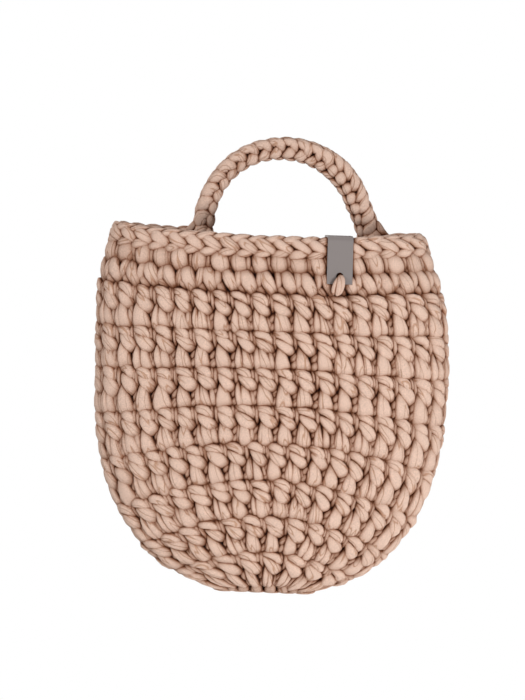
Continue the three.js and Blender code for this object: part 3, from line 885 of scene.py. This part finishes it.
ray_turns = np.linspace(math.pi, -math.pi, 2 * stitch_counts["base_start"], endpoint=False)
outer_rays = np.stack([foot_ray(turn, RAY_DEPTHS) for turn in ray_turns])
inner_rays = np.stack([foot_ray(turn, -RAY_DEPTHS) for turn in ray_turns])
chain_ends = np.linspace(-CHAIN_HALF_LENGTH, CHAIN_HALF_LENGTH, CHAIN_LINKS + 1)
chain = []
for left, right in zip(chain_ends[:-1], chain_ends[1:]):
    for row in (-1, 1):
        for height in (CHAIN_DEPTH, WALL - CHAIN_DEPTH):
            chain.append([(left - 2, row * 0.4, height), (left + 3, row * 3.2, height),
                          (right - 2, row * 3.0, height), (right + 3, row * 0.2, height)])
print("the foot has", 2 * len(ray_turns), "rays and", len(chain), "strands of chain")

# %% Dress the foot
FOOT_CORE_FROM = 0.3
# The seed's strands all get one level of painted shade
SEED_SHADE_NEARNESS = 0.8
FOOT_STRANDS = [(outer_rays, 4.4, 2.6), (inner_rays, 4.4, 2.6), (np.array(chain), 3.0, 2.6)]
pile = YarnPile()
for paths, half_width, half_thick in FOOT_STRANDS:
    many = len(paths)
    widths, thicks = np.full(many, half_width), np.full(many, half_thick)
    swept, along, across = sweep(paths, widths, thicks, 9, 12, creases(many))
    pile.add(hung(swept), along, across, SEED_SHADE_NEARNESS)
core_band(pile, FOOT_CORE_FROM, 1 + CORE_LAP, CORE_HALF_THICK, ALL_ROUND)
finish_round(pile, "base_start")

# %% [markdown]
# The handle
#
# The handle is worked as a tube of stitches, so its rows of yarn run along it and turn slowly round it. Up
# the left leg and over the top a row of fat caps and a row of slanted leaves face the front. Down the
# right leg three rows of strands lie side by side. The handle is laid out flat as well: along its arch,
# round its section and outwards. It could be twisted with a modifier, but then its ends, which the rim
# holds, would turn too.

# %% The handle's arch
HANDLE_HALF_SPAN = 58.5
HANDLE_RISE = 65.5
HANDLE_WIDTH = 15.5
HANDLE_THICKNESS = 12.0
HANDLE_ARCH_POWER = 2.15
HANDLE_SECTION_POWER = 2.6
FOOT_DROP = 5.0
pivot = handle_high[2] - HANDLE_RISE - HANDLE_WIDTH / 2
arch_turns = np.linspace(math.pi, 0, 801)
arch_x = HANDLE_HALF_SPAN * bent(np.cos(arch_turns), 2 / HANDLE_ARCH_POWER)
arch_z = pivot + HANDLE_RISE * bent(np.sin(arch_turns), 2 / HANDLE_ARCH_POWER)
arch_x = np.concatenate([[-HANDLE_HALF_SPAN], arch_x, [HANDLE_HALF_SPAN]])
arch_z = np.concatenate([[pivot - FOOT_DROP], arch_z, [pivot - FOOT_DROP]])
arch_lengths = np.concatenate([[0.0], np.cumsum(np.hypot(np.diff(arch_x), np.diff(arch_z)))])
HANDLE_LENGTH = arch_lengths[-1]
print("the handle is", round(HANDLE_LENGTH), "mm long, hinged at z", round(pivot, 2), "mm")

# %% The handle's skin
# Places along the arch, as shares of its length, and how much fuller the section is there
FULLER_AT_SHARES = (0.0, 0.25, 0.45, 0.66, 0.84, 0.97)
FULLER_BY = (0.2, -0.6, 0.4, 2.8, 2.4, 1.0)
# The right leg leans outwards from this share of the arch to its end
LEAN_FROM_SHARE = 0.84
LEAN = 5.0
ARCH_STEP = 1.5


def on_the_handle(along, angle, depth):
    """along the arch from its left foot, round it from the front towards the outer edge, and outwards."""
    x, z = np.interp(along, arch_lengths, arch_x), np.interp(along, arch_lengths, arch_z)
    ahead, behind = along + ARCH_STEP, along - ARCH_STEP
    dx = np.interp(ahead, arch_lengths, arch_x) - np.interp(behind, arch_lengths, arch_x)
    dz = np.interp(ahead, arch_lengths, arch_z) - np.interp(behind, arch_lengths, arch_z)
    size = np.hypot(dx, dz) + 1e-9
    outer_x, outer_z = -dz / size, dx / size
    power = 2 / HANDLE_SECTION_POWER
    fuller = np.interp(along / HANDLE_LENGTH, FULLER_AT_SHARES, FULLER_BY)
    outwards = (HANDLE_WIDTH + fuller) / 2 * bent(np.sin(angle), power) - fuller / 2
    forwards = HANDLE_THICKNESS / 2 * bent(np.cos(angle), power)
    outwards = outwards + depth * np.sin(angle)
    forwards = forwards + depth * np.cos(angle)
    lean = LEAN * np.clip((along / HANDLE_LENGTH - LEAN_FROM_SHARE) / (1 - LEAN_FROM_SHARE), 0.0, 1.0)
    return np.stack([x + lean + outer_x * outwards, -forwards, z + outer_z * outwards], axis=-1)


# %% Strands of one stitch of the handle: along, towards the inner edge, outwards
HANDLE_CAP = strand(
    [(-2.6, -4.4, -3.6), (2.4, -4.0, -2.0), (6.2, -1.6, -2.0), (5.8, 3.6, -3.2)], 4.7, 2.9, (2.8, 2.8))
HANDLE_LEAF = strand(
    [(6.6, 0.6, -4.0), (4.8, 3.9, -2.2), (1.4, 7.0, -2.2), (-2.8, 10.8, -3.8)], 4.1, 2.7)
HANDLE_OUTER = strand(
    [(-4.8, -12.6, -3.8), (-0.6, -9.8, -2.2), (3.4, -7.2, -2.2), (7.6, -4.8, -3.8)], 3.7, 2.6)
HANDLE_INNER = strand(
    [(-1.2, 9.0, -3.8), (2.8, 10.8, -2.3), (6.2, 12.4, -2.3), (10.2, 13.8, -3.8)], 3.5, 2.5)
RIGHT_OUTER = strand(
    [(-5.2, -10.8, -3.6), (-0.4, -7.6, -1.8), (4.4, -4.2, -1.8), (9.2, -0.8, -3.4)], 4.0, 2.9, (2.6, 2.6))
RIGHT_MIDDLE = strand(
    [(-0.8, 0.9, -3.6), (2.4, 1.1, -1.9), (5.8, 1.5, -1.9), (9.2, 2.1, -3.8)], 3.3, 2.9, (2.6, 2.6))
RIGHT_INNER = strand(
    [(-3.6, 11.0, -3.8), (0.6, 8.7, -2.2), (4.4, 6.4, -2.2), (8.2, 4.2, -3.6)], 3.6, 2.7, (2.4, 2.6))
HANDLE_EDGE = strand(
    [(-1.6, -16.2, -3.8), (2.6, -14.4, -2.3), (6.4, -13.2, -2.3), (10.8, -12.0, -3.8)], 3.5, 2.5)
HANDLE_BACK = strand(
    [(-1.6, -22.6, -3.8), (2.6, -20.6, -2.3), (6.2, -18.6, -2.3), (10.6, -16.4, -3.8)], 3.9, 2.6)
HANDLE_BACK_LOW = strand(
    [(-1.6, 21.0, -3.8), (2.6, 19.0, -2.3), (6.2, 16.9, -2.3), (10.6, 14.7, -3.8)], 3.9, 2.6)
ALL_ALONG = [HANDLE_EDGE, HANDLE_BACK, HANDLE_BACK_LOW]
LEFT_ONLY = [HANDLE_CAP, HANDLE_LEAF, HANDLE_OUTER, HANDLE_INNER]
RIGHT_ONLY = [RIGHT_OUTER, RIGHT_MIDDLE, RIGHT_INNER, HANDLE_INNER]

# %% Where the handle's stitches start, and how far its rows have turned
HANDLE_STITCHES = 22
LEFT_STITCHES = 14
STITCH_STEPS = (10.5, 8.2)
STITCH_SIZES = (1.14, 0.9)
FIRST_STITCH = 2.5
LAST_STITCH_FROM_END = 10.0
TURNED_AT_SHARES = (0.1, 0.5, 0.66, 0.85, 1.0)
TURNED_BY = (0.0, 0.32, 0.0, -0.22, -0.8)
steps = np.linspace(*STITCH_STEPS, HANDLE_STITCHES - 1)
start_shares = np.cumsum(np.concatenate([[0.0], steps]))
start_span = HANDLE_LENGTH - FIRST_STITCH - LAST_STITCH_FROM_END
handle_starts = FIRST_STITCH + start_span * start_shares / start_shares[-1]
squeeze = np.interp(handle_starts, [0, HANDLE_LENGTH], STITCH_SIZES)
handle_places = np.arange(HANDLE_STITCHES)
handle_rows = [(leaf, handle_places) for leaf in ALL_ALONG]
handle_rows += [(leaf, handle_places[:LEFT_STITCHES]) for leaf in LEFT_ONLY]
handle_rows += [(leaf, handle_places[LEFT_STITCHES:]) for leaf in RIGHT_ONLY]
print("the handle has", sum(len(places) for _, places in handle_rows), "strands")

# %% Dress the handle
ROUND_THE_HANDLE = 7.2
HANDLE_SHAKE = 0.26
HANDLE_WIDTH_CHANCE = (0.94, 1.08)
# Depths over which the handle's painted shade fades from darkest to none
HANDLE_DEEPEST = 5.4
HANDLE_SHADE_FADE_DEPTH = 5.8
HANDLE_CORE_DEPTH = -2.9
HANDLE_CORE_END = 0.3
pile = YarnPile()
for leaf, places in handle_rows:
    many = len(places)
    paths = shaken(np.repeat(np.array(leaf["path"])[None], many, axis=0), HANDLE_SHAKE)
    paths[..., 0] *= squeeze[places, None]
    widths = leaf["half_width"] * rng.uniform(*HANDLE_WIDTH_CHANCE, many) * squeeze[places]
    thicks = np.full(many, leaf["half_thick"])
    flat, along, across = sweep(paths, widths, thicks, 10, 16, creases(many), leaf["ends"], outside=True)
    place = handle_starts[places, None, None] + flat[..., 0]
    turned = np.interp(place / HANDLE_LENGTH, TURNED_AT_SHARES, TURNED_BY)
    angle = turned - flat[..., 1] / ROUND_THE_HANDLE
    # Painted shade of depth: darker where a strand dives into the handle
    shade_nearness = np.clip((flat[..., 2] + HANDLE_DEEPEST) / HANDLE_SHADE_FADE_DEPTH, 0.0, 1.0)
    pile.add(on_the_handle(place, angle, flat[..., 2]) * MM, along, across, shade_nearness)

# The handle's core takes the darkest painted shade
core_along, core_angle = np.meshgrid(np.linspace(HANDLE_CORE_END, HANDLE_LENGTH - HANDLE_CORE_END, 90),
                                     np.linspace(0, 2 * math.pi, 16, endpoint=False), indexing="ij")
core_points = on_the_handle(core_along, core_angle, HANDLE_CORE_DEPTH)
flat = np.zeros(core_points.shape[:2])
pile.add(core_points[None] * MM, flat[None], flat[None], flat[None])
handle = pile.build("yarn_handle", yarn)
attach(handle, "handle")
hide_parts("handle")

# %% [markdown]
# Where the handle grows out of the rim
#
# The handle isn't sewn on. Its yarn flows out of the back rim, so strands fan out from each foot along the
# rim. Their points are measured from the middle of each foot, to the right, down and out.

# %% Strands at the feet of the handle
LEFT_FOOT = [
    strand([(-4.9, -11.5, 1.6), (-6.9, -7.4, 3.0), (-10.5, -3.6, 2.6), (-16.5, -0.5, -0.6)], 2.7, 2.5),
    strand([(1.5, -6.0, 2.4), (-2.1, -2.2, 4.2), (-7.1, 1.0, 3.8), (-13.5, 4.0, 0.6)], 3.0, 2.6),
    strand([(-3.7, -13.0, -2.6), (-4.3, -7.5, -4.2), (-5.5, -2.0, -5.2), (-9.0, 4.0, -5.0)], 3.6, 2.8),
    strand([(3.3, -13.0, -2.6), (3.3, -7.0, -4.6), (3.1, -0.5, -5.8), (2.0, 6.0, -5.4)], 3.8, 2.8),
]
RIGHT_FOOT = [
    strand([(8.1, -16.0, 1.6), (10.5, -10.6, 3.2), (14.5, -5.6, 2.8), (21.0, -2.0, -0.6)], 2.9, 2.6),
    strand([(4.5, -11.0, 2.8), (8.3, -6.0, 4.4), (13.3, -1.6, 3.8), (19.5, 2.0, 0.6)], 3.0, 2.6),
    strand([(-0.9, -7.0, 2.8), (2.5, -2.6, 4.4), (7.3, 1.0, 4.0), (13.0, 4.4, 0.8)], 2.9, 2.6),
    strand([(6.0, -17.0, -2.6), (8.9, -10.0, -4.4), (11.9, -4.0, -5.4), (16.5, 2.0, -5.2)], 3.8, 2.8),
    strand([(-0.1, -15.0, -2.6), (1.9, -8.0, -4.6), (4.3, -1.0, -5.8), (7.0, 5.5, -5.4)], 3.8, 2.8),
]
FOOT_LEVEL = round(pivot)
# One level of painted shade for the strands at the feet
HANDLE_FOOT_SHADE_NEARNESS = 0.85
DOWN = np.array([0.0, 0.0, -1.0])


def set_free(flat, origin, right, out):
    """Strands that were designed flat take their place at an origin, in millimetres from the hook point."""
    return origin + flat[..., :1] * right + flat[..., 1:2] * DOWN + flat[..., 2:] * out


pile = YarnPile()
for foot, foot_x in ((LEFT_FOOT, -HANDLE_HALF_SPAN), (RIGHT_FOOT, HANDLE_HALF_SPAN)):
    flat, along, across = sweep_table(foot, 13, 16)
    foot_middle = np.array([foot_x, 0.0, FOOT_LEVEL])
    swept = set_free(flat, foot_middle, np.array([1.0, 0.0, 0.0]), np.array([0.0, -1.0, 0.0]))
    pile.add(swept * MM, along, across, HANDLE_FOOT_SHADE_NEARNESS)
feet = pile.build("yarn_handle_feet", yarn)
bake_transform(feet)

# %% [markdown]
# The tag
#
# A strip of smooth imitation leather is folded over the rim. It has a punched hole, and a loop of the same
# yarn holds it down through that hole. The strip could be modelled anew, but it is already packed with its
# true shape, so it only gets softly rounded edges and a finish with a very fine grain. It is left bare.

# %% Finish the tag
SOFT_EDGE = 0.28 * MM
leather = bpy.data.materials.new("tag_leather")
hide = Nodes(leather)
place = hide.add("TexCoord", {})
grain = hide.add("TexVoronoi", {"Scale": 1400.0, "Vector": place.outputs["Object"]})
bump = hide.add("Bump", {"Strength": 0.12, "Distance": 0.0002, "Height": grain.outputs["Distance"]})
hide.fill(hide.shader, {
    "Base Color": (0.262, 0.232, 0.226, 1), "Roughness": 0.55, "Specular IOR Level": 0.35,
    "Normal": bump.outputs["Normal"],
})
tag = next(piece for piece in bpy.data.objects if piece.get("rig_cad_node") == "label")
tag.data.materials.clear()
tag.data.materials.append(leather)
rounding = tag.modifiers.new("soft_edges", "BEVEL")
rounding.width = SOFT_EDGE
rounding.segments = 2
rounding.limit_method = "ANGLE"
rounding.angle_limit = math.radians(40)

# %% [markdown]
# The loop of yarn that holds the tag
#
# Two strands come out of the rim above the tag's hole and dive into it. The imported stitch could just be
# given the yarn's finish, but it is a plain peg, and the picture shows two strands. The tag faces a little
# to one side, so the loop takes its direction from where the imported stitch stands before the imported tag.

# %% Two strands through the tag's hole
stitch_low, stitch_high = box_in_mm("label_stitch")
tag_low, tag_high = box_in_mm("label")
stitch_centre = (stitch_low + stitch_high) / 2
half_height = (stitch_high[2] - stitch_low[2]) / 2
from_tag = stitch_centre - (tag_low + tag_high) / 2
yaw = math.atan2(from_tag[0], -from_tag[1])
right = np.array([math.cos(yaw), math.sin(yaw), 0.0])
out = np.array([math.sin(yaw), -math.cos(yaw), 0.0])
TAG_LOOP = [
    strand([(0.4, -6.2, -2.8), (0.2, -2.4, 0.8), (-0.6, 2.6, 1.0), (-1.8, half_height - 0.4, -1.8)],
           3.2, 2.5),
    strand([(0.0, -5.6, -2.8), (-3.0, -1.6, 0.2), (-4.4, 2.8, 0.2), (-3.8, half_height - 0.8, -2.0)],
           1.7, 2.0),
]
# One level of painted shade for the loop
LOOP_SHADE_NEARNESS = 0.95
pile = YarnPile()
flat, along, across = sweep_table(TAG_LOOP, 12, 16)
pile.add(set_free(flat, stitch_centre, right, out) * MM, along, across, LOOP_SHADE_NEARNESS)
tag_stitch = pile.build("yarn_tag_stitch", yarn)
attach(tag_stitch, "basket")
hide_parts("label_stitch")

# %% [markdown]
# The edge between the handle's feet
#
# Between the handle's feet the back wall ends one course lower, at the tops of the short stitches. As on
# any last round of crochet, two rows of loops lie side by side along that edge. Left bare it would show the
# middle of the wall from above, which is painted in deep shade.

# %% A chain of loops along the back edge
EDGE_LOOP = [(-3.4, 11.8, 1.4), (2.4, 9.8, 3.1), (7.8, 9.5, 2.7), (14.0, 10.4, 0.9)]
LOOP_REACH = 4.2
# One level of painted shade for the edge's loops
EDGE_SHADE_NEARNESS = 0.92
between_feet = back_rim_within(HANDLE_HALF_SPAN - HANDLE_WIDTH / 2 - LOOP_REACH)
edge_from, edge_to = rim_distances[between_feet].min(), rim_distances[between_feet].max()
edge_count = round((edge_to - edge_from) / RIM_PITCH)
edge_distances = edge_from + (edge_to - edge_from) * np.arange(edge_count) / edge_count
edge_places = edge_distances / rim_distances[-1] * rim_count
pile = YarnPile()
for face in (1, -1):
    leaf = strand([(x, y, face * depth) for x, y, depth in EDGE_LOOP], 3.0, 3.2, (2.2, 2.2))
    lay_leaf(pile, rim_number, edge_places, rim_count, leaf, shake=0.3, shade_nearness=EDGE_SHADE_NEARNESS)
back_edge = pile.build("yarn_back_edge", yarn)
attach(back_edge, "basket")
print("the back edge has", edge_count, "pairs of loops over", round(edge_to - edge_from), "mm")

# %% [markdown]
# The surroundings
#
# The picture is a cut-out on pure white, with no wall, hook or shadow. A white wall behind the basket would
# throw its light back on the yarn, so the white is seen by the camera alone. All other rays meet a dim,
# warm, even sky, which fills the shade.

# %% White for the camera, a dim sky for the yarn
world = bpy.data.worlds.new("white_surrounding")
bpy.context.scene.world = world
surroundings = Nodes(world)
surroundings.tree.nodes.clear()
seen = surroundings.add("Background", {"Color": (1, 1, 1, 1), "Strength": 1.0})
sky = surroundings.add("Background", {"Color": (1.0, 0.90, 0.82, 1), "Strength": 0.15})
ray = surroundings.add("LightPath", {})
is_camera = ray.outputs["Is Camera Ray"]
mixed = surroundings.add("MixShader", {0: is_camera, 1: sky.outputs[0], 2: seen.outputs[0]})
surroundings.add("OutputWorld", {0: mixed.outputs[0]})

# %% [markdown]
# The lamps
#
# In the picture the right edge is brightest and the handle darkest. So the strongest light is a fairly
# small lamp in front, to the right and a little below. It could do the work alone, but its shadows between
# the strands would be hard and black. Wide weaker lamps at the upper left, above and far to the right keep
# the shade soft. One more lamp lights the back, for views from behind.

# %% Five square lamps
AIM = Vector((-0.0119, -0.0244, -0.1363))
LAMP_DISTANCE = 2.5


def towards(azimuth, elevation):
    """The direction from the basket to a lamp or camera, in degrees from the front and from level."""
    a, e = math.radians(azimuth), math.radians(elevation)
    return Vector((math.sin(a) * math.cos(e), -math.cos(a) * math.cos(e), math.sin(e)))


def lamp(name, azimuth, elevation, size, watts):
    """A square soft lamp that looks at the middle of the picture."""
    data = bpy.data.lights.new(name, "AREA")
    data.size = size
    data.energy = watts
    made = bpy.data.objects.new(name, data)
    bpy.context.scene.collection.objects.link(made)
    back = towards(azimuth, elevation)
    made.location = AIM + back * LAMP_DISTANCE
    made.rotation_mode = "QUATERNION"
    made.rotation_quaternion = (-back).to_track_quat("-Z", "Y")


lamp("key_lamp", 34, -12, 0.6, 32.6)
lamp("left_lamp", -50, 24, 1.6, 21.0)
lamp("right_lamp", 88, -10, 1.0, 11.0)
lamp("top_lamp", -24, 44, 1.6, 12.0)
lamp("back_lamp", 200, 15, 1.6, 36.0)

# %% [markdown]
# The floor
#
# The basket hangs at a child's or a grown-up's reach, so the floor is a good way below it. It is a plain
# pale sheet, large enough to send soft light up under the basket, and it ends before it would come into
# the picture.

# %% A plain pale floor
FLOOR_DROP = 1.5
FLOOR_HALF = 2.0
corners = [(-FLOOR_HALF, -FLOOR_HALF, -FLOOR_DROP), (FLOOR_HALF, -FLOOR_HALF, -FLOOR_DROP),
           (FLOOR_HALF, FLOOR_HALF, -FLOOR_DROP), (-FLOOR_HALF, FLOOR_HALF, -FLOOR_DROP)]
sheet = bpy.data.meshes.new("floor")
sheet.from_pydata(corners, [], [(0, 1, 2, 3)])
floor = bpy.data.objects.new("floor", sheet)
bpy.context.scene.collection.objects.link(floor)
paint = bpy.data.materials.new("floor_paint")
coat = Nodes(paint)
cloud = coat.add("TexNoise", {"Scale": 3.0})
pale = coat.ramp(cloud.outputs["Fac"], (0.0, (0.88, 0.875, 0.865)), (1.0, (0.92, 0.915, 0.905)))
coat.fill(coat.shader, {"Base Color": pale, "Roughness": 0.85})
sheet.materials.append(paint)

# %% [markdown]
# The camera
#
# The basket takes up two thirds of the picture's height and is seen from slightly above, with hardly any
# perspective. So the camera stands well back with a long lens. The basket hangs a little askew in the
# picture, and a small roll of the camera follows it, because the part itself hangs straight.

# %% A camera with a long lens
DISTANCE = 1.6
TALL_VIEW = 0.5
ELEVATION = 5.7
ROLL = math.radians(2.3)
camera_data = bpy.data.cameras.new("camera")
camera_data.sensor_width = 36.0
camera_data.lens = camera_data.sensor_width * DISTANCE / TALL_VIEW
camera = bpy.data.objects.new("camera", camera_data)
bpy.context.scene.collection.objects.link(camera)
back = towards(0, ELEVATION)
camera.location = AIM + back * DISTANCE
camera.rotation_mode = "QUATERNION"
look = (-back).to_track_quat("-Z", "Y").to_matrix()
camera.rotation_quaternion = (look @ Matrix.Rotation(ROLL, 3, "Z")).to_quaternion()
bpy.context.scene.camera = camera
bpy.context.scene.view_settings.view_transform = "Standard"
print("the lens is", round(camera_data.lens), "mm long")
